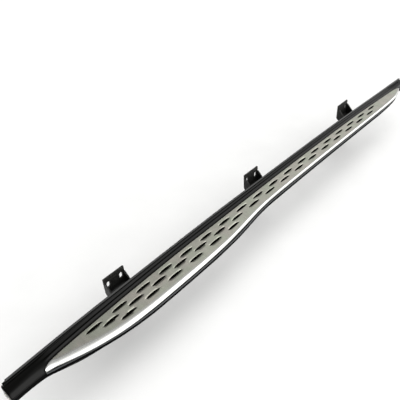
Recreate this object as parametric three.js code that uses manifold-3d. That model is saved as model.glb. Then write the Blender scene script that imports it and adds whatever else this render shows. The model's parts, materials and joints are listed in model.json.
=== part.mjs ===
// Fixed running board for the right-hand side of a car, van or light truck.
//
// Frame: millimetres, +X towards the front of the vehicle, +Y towards the vehicle, +Z up.
// The origin is the centre of the bolting face of the middle bracket.
//
// The pieces are written in board coordinates: x = 0 at mid-length, z = 0 on top of the tread
// plate at its highest point. The board is lofted through cross-sections that stand square to X.
// Long visible pieces follow a slight crown, the rail and the brackets below them are straight.
import * as THREE from "three";
import { mergeVertices } from "three/addons/utils/BufferGeometryUtils.js";
import Module from "manifold-3d";

const wasm = await Module();
wasm.setup();

// ---------------------------------------------------------------- driving dimensions

const GAP = 0.3; // clearance between pieces that touch
const ROUND_SIDES = 10; // facets around bolts, bosses and nuts
const SMALL_SIDES = 8; // facets around screws, studs and their holes
const CUT_REACH = 3; // how far a cutting shape runs past the surface it opens

// Crown: the top of the board drops away from its highest point as a shallow parabola.
const CROWN_PEAK = -43;
const CROWN_RATE = 1.795e-5;

const BODY_END = 970; // half length of the shells
const CAP_THICKNESS = 5;
const PLATE_REAR_TIP = -886;
const PLATE_FRONT_TIP = 890;

// Plan curves, as [x, y] stations. Negative y is the outboard side.
const PLATE_OUTER_EDGE = [
  [-886, -9.6], [-867, -13.6], [-846, -21.4], [-797, -38.8], [-747, -52.2], [-697, -61.8],
  [-647, -67], [-560, -70.2], [-440, -70.4], [-340, -67.8], [-250, -60.7], [-190, -53.6],
  [-130, -46.8], [-60, -43.1], [40, -42.6], [300, -42.8], [600, -42.4], [700, -41.4],
  [800, -37], [850, -27], [875, -18.4], [890, -12],
];
const PLATE_BEVEL_START = [
  [-886, -7], [-880, -2.4], [-866, 2.6], [-858, 1], [-850, -3.6], [-800, -19.2], [-750, -35],
  [-700, -46], [-650, -53], [-600, -57], [-500, -60], [-400, -61], [-300, -58.8],
  [-200, -48.8], [-150, -43.4], [-100, -40.2], [0, -38.8], [600, -38], [700, -36.4], [800, -31],
  [850, -21], [875, -14], [890, -10],
];
const PLATE_INNER_EDGE = [
  [-886, -6.2], [-880, -1.4], [-866, 4.2], [-850, 6.6], [-830, 7.8], [-800, 8.9], [-700, 11.6],
  [-600, 13.6], [-400, 15.2], [-300, 14], [0, 12.8], [250, 11.5], [450, 10], [550, 9],
  [650, 6.2], [750, 3.4], [850, -0.6], [878, -3.6], [890, -8.2],
];
// In the tails beyond the plate the shoulder is one large round up to the first line. The second
// line splits it where the plate's recess begins.
const TAIL_SHOULDER = [[-970, 8], [-940, 11], [-889, 15], [893, 6], [970, 7]];
const SHOULDER_SPLIT = [[-970, -1], [-889, -6], [893, -8], [921, -4.5], [970, -1]];
const BODY_SIDE = [
  [-970, -6.5], [-921, -5.8], [-896, -7], [-868, -14.5], [-819, -30], [-743, -51], [-692, -61],
  [-641, -67.5], [-590, -70.8], [-488, -71.8], [-385, -71.2], [-283, -66.6], [-232, -61.8],
  [-181, -54.8], [-130, -48.6], [-79, -45.2], [23, -44.2], [637, -42.8], [720, -40.2], [800, -33.5],
  [850, -23], [897, -9], [921, -5.8], [970, -6.5],
];
const INNER_LIP = [
  [-970, 34.2], [-750, 37], [-300, 36.6], [0, 33.5], [400, 30.8], [777, 25], [970, 24],
];
const INNER_GROOVE = [
  [-970, 17], [-850, 21.2], [-800, 23.7], [-700, 27.2], [-400, 30.4], [0, 28.2], [400, 25],
  [698, 19.2], [850, 14], [970, 14],
];
const COVER_BOTTOM_OUTER = [
  [-970, 6], [-890, 2], [-850, -10], [-800, -26], [-740, -36], [-660, -45], [-560, -50], [-440, -50],
  [-340, -47], [-250, -40], [-180, -31], [-110, -26], [-40, -24.5], [660, -24.5], [720, -21.5],
  [800, -16], [880, -5], [970, 6],
];

// Tread plate with a rolled outer edge, and the rubber mat whose pads fill its openings.
const PLATE_THICKNESS = 1.5;
const BEVEL_DROP = 6;
const BEVEL_STEPS = 3;
const MAT_THICKNESS = 1.5;
const PAD_RISE = 0.3;
const PAD_CLEARANCE = 0.5;
const OPENING_LENGTH = 48.5;
const OPENING_WIDTH = 8.8;
const OPENING_CORNERS = 10;
const OPENING_PITCH = 82;
const OPENING_ROWS = [
  { first: -741.5, count: 18, line: [[-743, -2.2], [-400, -0.8], [0, -1.7], [651, -4.5]] },
  { first: -700, count: 17, line: [[-702, -18.4], [-400, -17.2], [0, -17.7], [610, -20.4]] },
  { first: -657.5, count: 6, line: [[-661, -36.4], [-450, -37], [-251, -35.3]] },
];
const MAT_ENDS = [-800, 720];

// Upper shell: deck below the plate, then a narrow gap, a rib that rises from a level foot, a shallow
// groove and the lip along the vehicle side. In the tails it turns flat with a large round shoulder.
const DECK_TOP = -PLATE_THICKNESS - GAP - MAT_THICKNESS - GAP;
const SHELL_THICKNESS = 2.6;
const SHELL_BOTTOM = -20.5;
const SHELL_UNDERSIDE = -4.5;
const TAIL_EXTRA_DEPTH = 2.5;
const SHOULDER = -9;
const TAIL_SHOULDER_DROP = 11;
const SHOULDER_STEPS = [0, 0.06, 0.3, 1]; // shares of the width at which the round is cut into facets
const RIB_GAP = 2.2;
const RIB_FOOT = -1.8;
const RIB_TOP = 0.6;
const RIB_CREST_OFFSET = 3;
const RIB_RAMP = [0.38, 1]; // share of the rib's width over which it rises from its level foot
const RIB_STEPS = [0, 0.12, 0.42, 0.7, 1];
const GROOVE_DEPTH = 0.8;
const RELIEF_FADE_IN = [-889, -845];
const RELIEF_FADE_OUT = [845, 893];
const STRIP_RISE = 1.3;
const LIP_TOP = 8;
const LIP_THICKNESS = 2;

// Trim strip below the plate's edge: a bead with a set-back face above and below it.
const TRIM_THICKNESS = 3;
const TRIM_TOP = -7.4;
const BEAD_TOP = -11;
const BEAD_BOTTOM = -15;

// Lower cover.
const COVER_THICKNESS = 2.5;
const COVER_BOTTOM = -50.8;
const COVER_TOP = SHELL_BOTTOM - 0.4;

// Carrier rail: a lipped channel, open at the bottom.
const RAIL_ENDS = [-790, 690];
const RAIL_CENTRE = -2;
const RAIL_WIDTH = 38;
const RAIL_TOP = -26;
const RAIL_BOTTOM = -48;
const RAIL_WALL = 3;
const RAIL_SLOT = 14;

// Brackets: steel angles from the rail to the vehicle.
const BRACKET_PLACES = { rear: -600, middle: 0, front: 600 };
const BRACKET_WIDTH = 70;
const BRACKET_THICKNESS = 5;
const BRACKET_FACE = 95;
const BRACKET_FLANGE_TOP = 5;
const BRACKET_ARM_TIP = -22;
const BRACKET_BEND = 8;
const BRACKET_SLOT_SPACING = 44;
const BRACKET_SLOT_HEIGHT = -20;
const BRACKET_SLOT_RADIUS = 5.5;
const BRACKET_SLOT_REACH = 5; // from the slot's middle to the centre of each round end
const GUSSET_THICKNESS = 4;
const GUSSET_FOOT = 46;
const GUSSET_TOP = -10;
const PAD_BLOCK = { length: 76, width: 34, thickness: 3.1 };
const WINDOW_MARGIN = 1;
const ARM_TOP = RAIL_BOTTOM - GAP - PAD_BLOCK.thickness - GAP;
const ARM_BOTTOM = ARM_TOP - BRACKET_THICKNESS;

// Fasteners.
const BOLT_RADIUS = 4;
const BOLT_SPACING = 44;
const BOLT_PROTRUSION = 12; // threaded end below the bracket's arm
const T_HEAD = { length: 18, width: 24, height: 5 };
const NUT_RADIUS = 7.5;
const NUT_HEIGHT = 8;
const NUT_FLANGE_RADIUS = 9;
const NUT_FLANGE_HEIGHT = 1.6;
const SCREW_RADIUS = 2;
const SCREW_HEAD_RADIUS = 4.5;
const SCREW_HEAD_HEIGHT = 2.4;
const HOLE_MARGIN = 0.4;
const RAIL_SCREW_PLACES = [-700, -450, -150, 150, 450, 660];
const RAIL_SCREW_TIP = -17.5;
const COVER_SCREW_PLACES = [-740, -480, -180, 180, 480, 670];
const COVER_SCREW_LINE = RAIL_CENTRE - 13;
const STUD_PLACES = [-760, -480, -220, 60, 340, 620];
const STUD_LINE = -9.6;
const STUD_RADIUS = 1.8;
const STUD_LENGTH = 8.5;
const PUSH_NUT_RADIUS = 6;
const PUSH_NUT_THICKNESS = 1;
const BOSS_RADIUS = 5;
const CAP_SCREW_LINES = [8, 21];
const CAP_SCREW_HEIGHT = -30;
const CAP_SCREW_LENGTH = 18;
const END_BOSS_DEPTH = 20;
const END_BOSS_HALF_WIDTH = 4;

// Tongue of an end cap, which slides in between the cover's floor and the screw bosses.
const TONGUE_DEPTH = 12;
const TONGUE_SIDES = [8, 19];
const TONGUE_HEIGHTS = [-44.5, -36.5];

// ---------------------------------------------------------------- materials

const brushedAluminium = new THREE.MeshStandardMaterial({ color: 0xbebeb4, roughness: 0.35, metalness: 1 });
const millAluminium = new THREE.MeshStandardMaterial({ color: 0x9fa2a4, roughness: 0.5, metalness: 1 });
const blackRubber = new THREE.MeshStandardMaterial({ color: 0x14140f, roughness: 0.85, metalness: 0 });
const satinPlastic = new THREE.MeshStandardMaterial({ color: 0x1b1c1d, roughness: 0.4, metalness: 0 });
const roughPlastic = new THREE.MeshStandardMaterial({ color: 0x151617, roughness: 0.7, metalness: 0 });
const greyTrim = new THREE.MeshStandardMaterial({ color: 0x4a4d50, roughness: 0.3, metalness: 0.4 });
const coatedSteel = new THREE.MeshStandardMaterial({ color: 0x101112, roughness: 0.55, metalness: 0.2 });
const zincSteel = new THREE.MeshStandardMaterial({ color: 0xa8a9a6, roughness: 0.4, metalness: 1 });

// ---------------------------------------------------------------- curves and sections

function crown(x) {
  return -CROWN_RATE * (x - CROWN_PEAK) ** 2;
}

// Smooth curve without overshoot through hand-set stations (monotone cubic Hermite).
function curveThrough(stations) {
  const slopes = stations.slice(1).map(([x, y], i) => (y - stations[i][1]) / (x - stations[i][0]));
  const tangents = stations.map((_, i) => {
    if (i === 0) return slopes[0];
    if (i === slopes.length) return slopes[i - 1];
    const [before, after] = [slopes[i - 1], slopes[i]];
    return before * after <= 0 ? 0 : (2 * before * after) / (before + after);
  });
  return (x) => {
    let i = 0;
    while (i < slopes.length - 1 && x > stations[i + 1][0]) i += 1;
    const [x0, y0] = stations[i];
    const [x1, y1] = stations[i + 1];
    const span = x1 - x0;
    const t = THREE.MathUtils.clamp((x - x0) / span, 0, 1);
    const startWeight = (1 + 2 * t) * (1 - t) ** 2;
    const tangentWeight = t * (1 - t) * span;
    return y0 * startWeight + y1 * (1 - startWeight)
      + tangentWeight * (tangents[i] * (1 - t) - tangents[i + 1] * t);
  };
}

const plateOuterEdge = curveThrough(PLATE_OUTER_EDGE);
const bevelStart = curveThrough(PLATE_BEVEL_START);
const plateInnerEdge = curveThrough(PLATE_INNER_EDGE);
const bodySide = curveThrough(BODY_SIDE);
const innerLip = curveThrough(INNER_LIP);
const innerGroove = curveThrough(INNER_GROOVE);
const coverBottomOuter = curveThrough(COVER_BOTTOM_OUTER);
const tailShoulder = curveThrough(TAIL_SHOULDER);
const shoulderSplit = curveThrough(SHOULDER_SPLIT);

// Rib, groove and strip fade out into the tails: 1 along the plate, 0 at both ends.
function reliefAt(x) {
  const fadeIn = THREE.MathUtils.smoothstep(x, ...RELIEF_FADE_IN);
  const fadeOut = THREE.MathUtils.smoothstep(x, ...RELIEF_FADE_OUT);
  return fadeIn * (1 - fadeOut);
}

// The deck is sunk below the plate only along the plate's own length.
function isRecessed(x) {
  return x > PLATE_REAR_TIP - 2 && x < PLATE_FRONT_TIP + 2;
}

function range(first, last, step) {
  const count = Math.round((last - first) / step);
  return Array.from({ length: count + 1 }, (_, i) => first + i * step);
}

// Stations shared by every crowned piece: closer where the plan curves.
const STATIONS = [
  -970, -940, -912, -898, -889, -887, -886, -882, -875, -866, -858, -850, -830, -810,
  ...range(-780, -420, 60), ...range(-370, -70, 50), ...range(20, 660, 80), 710, 755, 800, 830, 855,
  873, 883, 890, 891, 893, 905, 920, 940, 970,
];

function ordered(a, b) {
  return a < b ? [a, b] : [b, a];
}

function stationsBetween(first, last) {
  return [first, ...STATIONS.filter((x) => x > first && x < last), last];
}

// ---------------------------------------------------------------- geometry helpers

// Solid through rings of [y, z] points, one ring per station; all rings have the same count.
function loft(stations, ringAt) {
  const rings = stations.map((x) => {
    const points = ringAt(x).map(([y, z]) => new THREE.Vector2(y, z));
    return THREE.ShapeUtils.isClockWise(points) ? points.reverse() : points;
  });
  const count = rings[0].length;
  const positions = rings.flatMap((ring, k) => ring.flatMap((p) => [stations[k], p.x, p.y]));
  const index = [];
  for (let k = 0; k < rings.length - 1; k += 1) {
    for (let j = 0; j < count; j += 1) {
      const a = k * count + j;
      const b = k * count + ((j + 1) % count);
      index.push(a, b, b + count, a, b + count, a + count);
    }
  }
  const lastRing = (rings.length - 1) * count;
  for (const [a, b, c] of THREE.ShapeUtils.triangulateShape(rings[0], [])) index.push(a, c, b);
  for (const [a, b, c] of THREE.ShapeUtils.triangulateShape(rings.at(-1), [])) {
    index.push(lastRing + a, lastRing + b, lastRing + c);
  }
  const geometry = new THREE.BufferGeometry();
  geometry.setAttribute("position", new THREE.Float32BufferAttribute(positions, 3));
  geometry.setIndex(index);
  return geometry;
}

// Same, with the ring's heights measured from the crown.
function crownedLoft(first, last, ringAt) {
  const lifted = (x) => ringAt(x).map(([y, z]) => [y, z + crown(x)]);
  return loft(stationsBetween(first, last), lifted);
}

function box(from, to) {
  const geometry = new THREE.BoxGeometry(to[0] - from[0], to[1] - from[1], to[2] - from[2]);
  return geometry.translate((from[0] + to[0]) / 2, (from[1] + to[1]) / 2, (from[2] + to[2]) / 2);
}

// Upright round bar between two heights.
function post(x, y, bottom, top, radius, sides = ROUND_SIDES) {
  const geometry = new THREE.CylinderGeometry(radius, radius, top - bottom, sides).rotateX(Math.PI / 2);
  return geometry.translate(x, y, (bottom + top) / 2);
}

// Round bar along X.
function lengthwiseBar(from, to, y, z, radius, sides = SMALL_SIDES) {
  const geometry = new THREE.CylinderGeometry(radius, radius, to - from, sides).rotateZ(Math.PI / 2);
  return geometry.translate((from + to) / 2, y, z);
}

function solidOf(geometry) {
  const bare = geometry.clone();
  bare.deleteAttribute("normal");
  bare.deleteAttribute("uv");
  const merged = mergeVertices(bare, 1e-4);
  return new wasm.Manifold(new wasm.Mesh({
    numProp: 3,
    vertProperties: new Float32Array(merged.attributes.position.array),
    triVerts: new Uint32Array(merged.index.array),
  }));
}

function geometryOf(solid) {
  const mesh = solid.getMesh();
  const geometry = new THREE.BufferGeometry();
  geometry.setAttribute("position", new THREE.Float32BufferAttribute(mesh.vertProperties, 3));
  geometry.setIndex(Array.from(mesh.triVerts));
  geometry.computeVertexNormals();
  return geometry;
}

// One piece: a base shape with shapes joined to it and shapes cut out of it.
function shaped(base, { joined = [], cut = [] }) {
  let solid = solidOf(base);
  for (const extra of joined) solid = solid.add(solidOf(extra));
  for (const cutter of cut) solid = solid.subtract(solidOf(cutter));
  return geometryOf(solid);
}

const board = new THREE.Group();

function addPiece(name, geometry, material) {
  const mesh = new THREE.Mesh(geometry, material);
  mesh.name = name;
  board.add(mesh);
}

// ---------------------------------------------------------------- tread plate and mat

function openingPlaces() {
  return OPENING_ROWS.flatMap(({ first, count, line }) => {
    const rowLine = curveThrough(line);
    return range(first, first + (count - 1) * OPENING_PITCH, OPENING_PITCH).map((x) => [x, rowLine(x)]);
  });
}

// Upright elliptical prism; its top and bottom follow the crown.
function ellipsePrism([x, y], length, width, bottom, top) {
  const outline = range(0, OPENING_CORNERS - 1, 1).map((i) => {
    const angle = (i / OPENING_CORNERS) * 2 * Math.PI;
    return new THREE.Vector2(x + (length / 2) * Math.cos(angle), y + (width / 2) * Math.sin(angle));
  });
  const depth = top - bottom;
  const geometry = new THREE.ExtrudeGeometry(new THREE.Shape(outline), { depth, bevelEnabled: false });
  geometry.translate(0, 0, bottom);
  const position = geometry.attributes.position;
  for (let i = 0; i < position.count; i += 1) {
    position.setZ(i, position.getZ(i) + crown(position.getX(i)));
  }
  return geometry;
}

// Quarter ellipse from the flat of the plate down to its outer edge.
function bevelArc(centre, width, height) {
  return range(0, BEVEL_STEPS, 1).map((i) => {
    const angle = (i / BEVEL_STEPS) * (Math.PI / 2);
    return [centre - width * Math.sin(angle), -BEVEL_DROP + height * Math.cos(angle)];
  });
}

function plateRing(x) {
  const start = bevelStart(x);
  const width = start - plateOuterEdge(x);
  const inner = plateInnerEdge(x);
  const under = bevelArc(start, width - PLATE_THICKNESS, BEVEL_DROP - PLATE_THICKNESS).reverse();
  return [[inner, 0], ...bevelArc(start, width, BEVEL_DROP), ...under, [inner, -PLATE_THICKNESS]];
}

function addTreadPlate() {
  const plate = crownedLoft(PLATE_REAR_TIP, PLATE_FRONT_TIP, plateRing);
  const openings = openingPlaces().map((place) => (
    ellipsePrism(place, OPENING_LENGTH, OPENING_WIDTH, -PLATE_THICKNESS - CUT_REACH, CUT_REACH)
  ));
  const studs = STUD_PLACES.map((x) => {
    const underside = crown(x) - PLATE_THICKNESS;
    return post(x, STUD_LINE, underside - STUD_LENGTH, underside + 0.5, STUD_RADIUS, SMALL_SIDES);
  });
  addPiece("tread_plate", shaped(plate, { joined: studs, cut: openings }), brushedAluminium);
}

function matRing(x) {
  const top = -PLATE_THICKNESS - GAP;
  const outer = bevelStart(x) + 1;
  const inner = plateInnerEdge(x) - 1;
  return [[outer, top - MAT_THICKNESS], [inner, top - MAT_THICKNESS], [inner, top], [outer, top]];
}

// Bore around a stud, from a height below the crown up to the top of the plate.
function studHole(x, bottom) {
  return post(x, STUD_LINE, crown(x) + bottom, crown(x), STUD_RADIUS + HOLE_MARGIN, SMALL_SIDES);
}

function addRubberMat() {
  const mat = crownedLoft(MAT_ENDS[0], MAT_ENDS[1], matRing);
  const padLength = OPENING_LENGTH - 2 * PAD_CLEARANCE;
  const padWidth = OPENING_WIDTH - 2 * PAD_CLEARANCE;
  const root = -PLATE_THICKNESS - GAP - MAT_THICKNESS / 2;
  const pads = openingPlaces().map((place) => ellipsePrism(place, padLength, padWidth, root, PAD_RISE));
  const holes = STUD_PLACES.map((x) => studHole(x, DECK_TOP - CUT_REACH));
  addPiece("rubber_mat", shaped(mat, { joined: pads, cut: holes }), blackRubber);
}

// Spring push nuts hold the plate's studs below the deck.
function addPushNuts() {
  STUD_PLACES.forEach((x, i) => {
    const top = DECK_TOP - SHELL_THICKNESS - GAP;
    const bottom = top - PUSH_NUT_THICKNESS;
    const disc = post(x, STUD_LINE, crown(x) + bottom, crown(x) + top, PUSH_NUT_RADIUS);
    const cut = [studHole(x, bottom - CUT_REACH)];
    addPiece(`plate_push_nut_${i + 1}`, shaped(disc, { cut }), zincSteel);
  });
}

// ---------------------------------------------------------------- plastic body

// Height of the tail's round shoulder, a quarter ellipse between the side and the flat top.
function shoulderHeight(x, y) {
  const reach = (tailShoulder(x) - y) / (tailShoulder(x) - bodySide(x));
  return -TAIL_SHOULDER_DROP * (1 - Math.sqrt(Math.max(0, 1 - reach ** 2)));
}

// Side of the shell up to the deck: straight below the plate, along the round shoulder in the tails.
function shoulderCorners(x) {
  const recessed = isRecessed(x);
  const side = bodySide(x) + (recessed ? TRIM_THICKNESS + 2 * GAP : 0);
  const inner = recessed ? Math.max(bevelStart(x), side) + 0.5 : shoulderSplit(x);
  return SHOULDER_STEPS.map((t) => {
    const y = THREE.MathUtils.lerp(side, inner, t);
    return [y, recessed ? THREE.MathUtils.lerp(SHOULDER, DECK_TOP, t) : shoulderHeight(x, y)];
  });
}

// Outboard slope of the rib, which turns into the round shoulder in the tails. Beside the plate its
// foot stays above the deck.
function ribCorners(x, foot, relief) {
  const crest = THREE.MathUtils.lerp(tailShoulder(x), innerGroove(x) - RIB_CREST_OFFSET, relief);
  const lowest = isRecessed(x) ? DECK_TOP + 0.4 : -TAIL_SHOULDER_DROP;
  return RIB_STEPS.map((t) => {
    const y = THREE.MathUtils.lerp(foot, crest, t);
    const ribHeight = RIB_FOOT + (RIB_TOP - RIB_FOOT) * THREE.MathUtils.smoothstep(t, ...RIB_RAMP);
    const tailHeight = Math.max(lowest, shoulderHeight(x, y));
    return [y, THREE.MathUtils.lerp(tailHeight, ribHeight, relief)];
  });
}

function shellRing(x) {
  const relief = reliefAt(x);
  const shoulder = shoulderCorners(x);
  const [side] = shoulder[0];
  const [inner, deck] = shoulder.at(-1);
  const recessed = isRecessed(x);
  const rib = recessed ? plateInnerEdge(x) + RIB_GAP : inner + 0.6;
  const groove = innerGroove(x);
  const lip = innerLip(x);
  const back = lip + LIP_THICKNESS;
  const outerFace = [
    [side, SHELL_BOTTOM], ...shoulder, [rib - 0.2, recessed ? deck : shoulderHeight(x, rib - 0.2)],
    ...ribCorners(x, rib, relief),
    [groove - 0.5, 0], [groove + 2.2, -GROOVE_DEPTH * relief], [lip - 0.6, STRIP_RISE * relief],
    [lip, STRIP_RISE * relief + 0.6], [lip, LIP_TOP], [back, LIP_TOP], [back, SHELL_BOTTOM],
  ];
  const ribUnderside = SHELL_UNDERSIDE - TAIL_EXTRA_DEPTH * (1 - relief);
  const deckUnderside = Math.min(deck - SHELL_THICKNESS, ribUnderside - 0.2);
  const innerFace = [
    [back - SHELL_THICKNESS, SHELL_BOTTOM], [back - SHELL_THICKNESS, SHELL_UNDERSIDE],
    [rib + SHELL_THICKNESS, ribUnderside], [rib + SHELL_THICKNESS, deckUnderside],
    [Math.max(inner, side) + 1.2, deckUnderside], [side + SHELL_THICKNESS, -TAIL_SHOULDER_DROP - 1],
    [side + SHELL_THICKNESS, SHELL_BOTTOM],
  ];
  return [...outerFace, ...innerFace];
}

function addUpperShell() {
  const shell = crownedLoft(-BODY_END, BODY_END, shellRing);
  const bosses = RAIL_SCREW_PLACES.map((x) => (
    post(x, RAIL_CENTRE, RAIL_TOP + GAP, crown(x) + DECK_TOP - 1, BOSS_RADIUS)
  ));
  const bossHoles = RAIL_SCREW_PLACES.map((x) => (
    post(x, RAIL_CENTRE, RAIL_TOP, RAIL_SCREW_TIP + 0.5, SCREW_RADIUS + HOLE_MARGIN, SMALL_SIDES)
  ));
  const studHoles = STUD_PLACES.map((x) => studHole(x, DECK_TOP - SHELL_THICKNESS - CUT_REACH));
  const endBosses = [];
  const endHoles = [];
  for (const side of [-1, 1]) {
    for (const y of CAP_SCREW_LINES) {
      const [from, to] = ordered(side * (BODY_END - 2), side * (BODY_END - END_BOSS_DEPTH));
      const top = crown(side * BODY_END) - 1.8;
      const low = [from, y - END_BOSS_HALF_WIDTH, CAP_SCREW_HEIGHT - END_BOSS_HALF_WIDTH];
      endBosses.push(box(low, [to, y + END_BOSS_HALF_WIDTH, top]));
      endHoles.push(lengthwiseBar(from - 2, to + 2, y, CAP_SCREW_HEIGHT, SCREW_RADIUS + HOLE_MARGIN));
    }
  }
  const joined = [...bosses, ...endBosses];
  const cut = [...bossHoles, ...studHoles, ...endHoles];
  addPiece("upper_shell", shaped(shell, { joined, cut }), satinPlastic);
}

function addTrimStrip() {
  const ring = (x) => {
    const face = bodySide(x);
    const back = face + TRIM_THICKNESS;
    const bottom = SHELL_BOTTOM + 0.6;
    return [
      [face + 1.4, TRIM_TOP], [face + 1.4, BEAD_TOP + 0.6], [face + 0.3, BEAD_TOP], [face, BEAD_TOP - 1],
      [face, BEAD_BOTTOM + 1], [face + 0.3, BEAD_BOTTOM], [face + 1, BEAD_BOTTOM - 0.6],
      [face + 0.6, bottom], [back, bottom], [back, TRIM_TOP],
    ];
  };
  const geometry = crownedLoft(PLATE_REAR_TIP, PLATE_FRONT_TIP, ring);
  addPiece("outer_trim_strip", geometryOf(solidOf(geometry)), greyTrim);
}

// Push-on rubber edge that grips the shell's lip and closes the gap to the vehicle.
function addLipSeal() {
  const ring = (x) => {
    const front = innerLip(x) - GAP;
    const back = innerLip(x) + LIP_THICKNESS + GAP;
    return [
      [front - 0.9, 5.6], [front - 0.9, 8.6], [front + 1.6, 10.7], [back, 11], [back + 0.9, 9.8],
      [back + 1, 2], [back, 2], [back, LIP_TOP + GAP], [front, LIP_TOP + GAP], [front, 5.6],
    ];
  };
  addPiece("lip_seal", geometryOf(solidOf(crownedLoft(-962, 962, ring))), blackRubber);
}

// The cover's rim follows the crown and its floor is level.
function coverRing(x) {
  const rim = bodySide(x) + 0.6;
  const top = COVER_TOP + crown(x);
  const bottomOuter = coverBottomOuter(x);
  const wall = innerLip(x) + LIP_THICKNESS;
  const floor = COVER_BOTTOM + COVER_THICKNESS;
  return [
    [rim, top], [rim, top - 3], [bottomOuter, COVER_BOTTOM], [wall - 7, COVER_BOTTOM],
    [wall, COVER_BOTTOM + 7], [wall, top], [wall - COVER_THICKNESS, top],
    [wall - COVER_THICKNESS, COVER_BOTTOM + 8], [wall - 8, floor],
    [bottomOuter + 1.2, floor], [rim + COVER_THICKNESS + 0.6, top - 4], [rim + COVER_THICKNESS + 0.6, top],
  ];
}

// Upright screw hole through everything between two heights.
function screwHole(x, y, bottom, top) {
  return post(x, y, bottom - CUT_REACH, top + CUT_REACH, SCREW_RADIUS + HOLE_MARGIN, SMALL_SIDES);
}

function addLowerCover() {
  const cover = loft(stationsBetween(-BODY_END, BODY_END), coverRing);
  const halfLength = PAD_BLOCK.length / 2 + WINDOW_MARGIN;
  const halfWidth = PAD_BLOCK.width / 2 + WINDOW_MARGIN;
  const windows = Object.values(BRACKET_PLACES).map((x) => box(
    [x - halfLength, RAIL_CENTRE - halfWidth, COVER_BOTTOM - CUT_REACH],
    [x + halfLength, RAIL_CENTRE + halfWidth, COVER_BOTTOM + COVER_THICKNESS + 1],
  ));
  const holes = COVER_SCREW_PLACES.map((x) => (
    screwHole(x, COVER_SCREW_LINE, COVER_BOTTOM, COVER_BOTTOM + COVER_THICKNESS)
  ));
  addPiece("lower_cover", shaped(cover, { cut: [...windows, ...holes] }), roughPlastic);
}

// Outline of the whole body at one end, shrunk towards its middle by `inset`.
function endOutline(x, inset) {
  const side = bodySide(x) + inset;
  const wall = innerLip(x) + LIP_THICKNESS - inset;
  const upper = [
    ...SHOULDER_STEPS.map((t) => {
      const y = THREE.MathUtils.lerp(bodySide(x), tailShoulder(x), t);
      return [THREE.MathUtils.lerp(side, tailShoulder(x), t), shoulderHeight(x, y) - inset];
    }),
    [innerLip(x) - 2, -inset], [wall, 3 - inset],
  ];
  return [
    ...upper.map(([y, z]) => [y, z + crown(x)]),
    [wall, COVER_BOTTOM + 7], [wall - 7, COVER_BOTTOM + inset],
    [coverBottomOuter(x), COVER_BOTTOM + inset], [side, COVER_TOP - 3 + crown(x)],
  ];
}

function addEndCap(name, side) {
  const inside = BODY_END + GAP;
  const outside = BODY_END + CAP_THICKNESS;
  const stations = [inside, inside + 2, outside].map((x) => side * x).sort((a, b) => a - b);
  const plate = loft(stations, (x) => endOutline(side * BODY_END, Math.abs(x) === outside ? 2.5 : 0));
  const [from, to] = ordered(side * (inside + 1), side * (BODY_END - TONGUE_DEPTH));
  const [low, high] = TONGUE_SIDES.map((y, i) => [y, TONGUE_HEIGHTS[i]]);
  const tongue = box([from, ...low], [to, ...high]);
  const [holeFrom, holeTo] = ordered(side * (inside - 1), side * (outside + 1));
  const holes = CAP_SCREW_LINES.map((y) => (
    lengthwiseBar(holeFrom, holeTo, y, CAP_SCREW_HEIGHT, SCREW_RADIUS + HOLE_MARGIN)
  ));
  addPiece(name, shaped(plate, { joined: [tongue], cut: holes }), satinPlastic);
}

// ---------------------------------------------------------------- rail, pads and brackets

function addCarrierRail() {
  const [left, right] = [RAIL_CENTRE - RAIL_WIDTH / 2, RAIL_CENTRE + RAIL_WIDTH / 2];
  const [slotLeft, slotRight] = [RAIL_CENTRE - RAIL_SLOT / 2, RAIL_CENTRE + RAIL_SLOT / 2];
  const lipTop = RAIL_BOTTOM + RAIL_WALL;
  const ring = () => [
    [left, RAIL_TOP], [left, RAIL_BOTTOM], [slotLeft, RAIL_BOTTOM], [slotLeft, lipTop],
    [left + RAIL_WALL, lipTop], [left + RAIL_WALL, RAIL_TOP - RAIL_WALL],
    [right - RAIL_WALL, RAIL_TOP - RAIL_WALL], [right - RAIL_WALL, lipTop],
    [slotRight, lipTop], [slotRight, RAIL_BOTTOM], [right, RAIL_BOTTOM], [right, RAIL_TOP],
  ];
  const webHoles = RAIL_SCREW_PLACES.map((x) => (
    screwHole(x, RAIL_CENTRE, RAIL_TOP - RAIL_WALL, RAIL_TOP)
  ));
  const lipHoles = COVER_SCREW_PLACES.map((x) => (
    screwHole(x, COVER_SCREW_LINE, RAIL_BOTTOM, lipTop)
  ));
  const rail = shaped(loft(RAIL_ENDS, ring), { cut: [...webHoles, ...lipHoles] });
  addPiece("carrier_rail", rail, millAluminium);
}

function boltPlaces(x) {
  return [x - BOLT_SPACING / 2, x + BOLT_SPACING / 2];
}

// The two bolt holes of the bracket at x, through everything between two heights.
function boltHoles(x, bottom, top) {
  return boltPlaces(x).map((place) => (
    post(place, RAIL_CENTRE, bottom - CUT_REACH, top + CUT_REACH, BOLT_RADIUS + HOLE_MARGIN)
  ));
}

function addPadBlock(name, x) {
  const top = RAIL_BOTTOM - GAP;
  const block = box(
    [x - PAD_BLOCK.length / 2, RAIL_CENTRE - PAD_BLOCK.width / 2, top - PAD_BLOCK.thickness],
    [x + PAD_BLOCK.length / 2, RAIL_CENTRE + PAD_BLOCK.width / 2, top],
  );
  const cut = boltHoles(x, top - PAD_BLOCK.thickness, top);
  addPiece(name, shaped(block, { cut }), blackRubber);
}

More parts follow.
